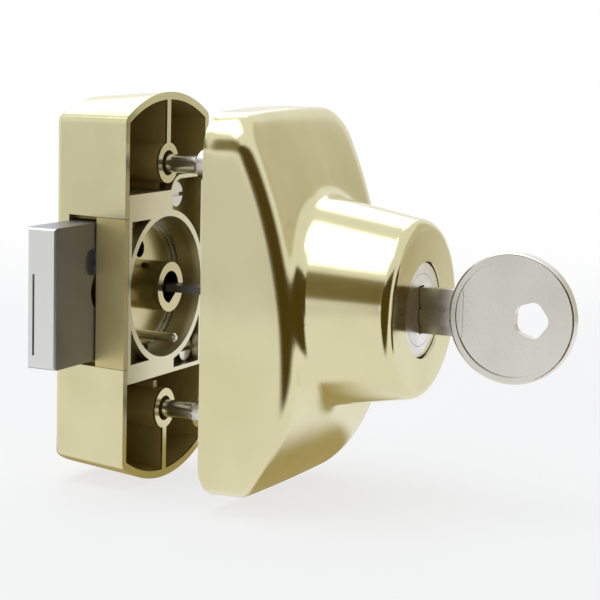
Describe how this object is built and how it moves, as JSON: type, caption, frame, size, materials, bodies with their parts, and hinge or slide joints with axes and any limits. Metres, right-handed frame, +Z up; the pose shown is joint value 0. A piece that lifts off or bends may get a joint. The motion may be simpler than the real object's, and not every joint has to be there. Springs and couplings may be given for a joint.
{
  "type": "deadbolt",
  "caption": "Clamp-through deadbolt: cast inner case with a throw bolt, bowed outer cover with a raised cylinder barrel, and a key in its plug.",
  "frame": {"origin": "on the hub's and the cylinder's common axis, in the plane of the inner case's open rim, which lies on the door", "axes": "+Y along the hub's axis into the inner case, -Y through the door to the key; the bolt is thrown towards -X; +Z up along the case's long side"},
  "size_m": [0.058, 0.1124, 0.0846],
  "materials": {
    "cast_shell": "satin plated die casting with polished highlights",
    "machined_face": "satin machined face, plated",
    "bolt_steel": "satin ground steel",
    "hard_rod": "dark hardened steel",
    "hub_metal": "lathe-turned, plated",
    "bearing_bronze": "plain sintered bronze",
    "screw_steel": "bright zinc-plated steel",
    "cylinder_nickel": "nickel-plated, satin",
    "key_nickel": "nickel silver, polished rim and satin face",
    "wafer_brass": "stamped brass",
    "spring_steel": "spring steel"
  },
  "bodies": {
    "housing": {"case": "cast_shell", "mechanism_plate": "machined_face", "bolt_slot_filler": "machined_face", "hub_snap_ring": "spring_steel", "hub_bush": "bearing_bronze", "plate_screws": "screw_steel", "through_screws": "screw_steel", "threaded_posts": "screw_steel", "cover": "cast_shell", "cylinder_body": "cylinder_nickel", "cylinder_nut": "wafer_brass", "nut_washer": "screw_steel"},
    "bolt": {"bolt": "bolt_steel", "bolt_hard_pins": "hard_rod"},
    "hub": {"hub": "hub_metal", "hub_stud": "screw_steel", "drive_pin": "hard_rod"},
    "plug": {"plug": "cylinder_nickel", "plug_clip": "spring_steel", "wafers": "wafer_brass", "wafer_springs": "spring_steel", "tailpiece": "screw_steel", "tailpiece_screw": "screw_steel"},
    "key": {"key": "key_nickel"}
  },
  "joints": [
    {"name": "key_turn", "type": "hinge", "parent": "housing", "child": "plug", "pos_m": [0, -0.05, 0], "axis": [0, 1, 0], "range_deg": [0, 90]},
    {"name": "key_slide", "type": "slide", "parent": "plug", "child": "key", "axis": [0, -1, 0], "range_m": [-0.0055, 0.0205]},
    {"name": "hub_turn", "type": "hinge", "parent": "housing", "child": "hub", "pos_m": [0, 0.01, 0], "axis": [0, 1, 0], "range_deg": [0, 90]},
    {"name": "bolt_throw", "type": "slide", "parent": "housing", "child": "bolt", "axis": [1, 0, 0], "range_m": [0, 0.014]}
  ],
  "couplings": [
    {"joint": "key_turn", "follows": "bolt_throw", "rad_per_m": 112.2},
    {"joint": "hub_turn", "follows": "bolt_throw", "rad_per_m": 112.2}
  ]
}
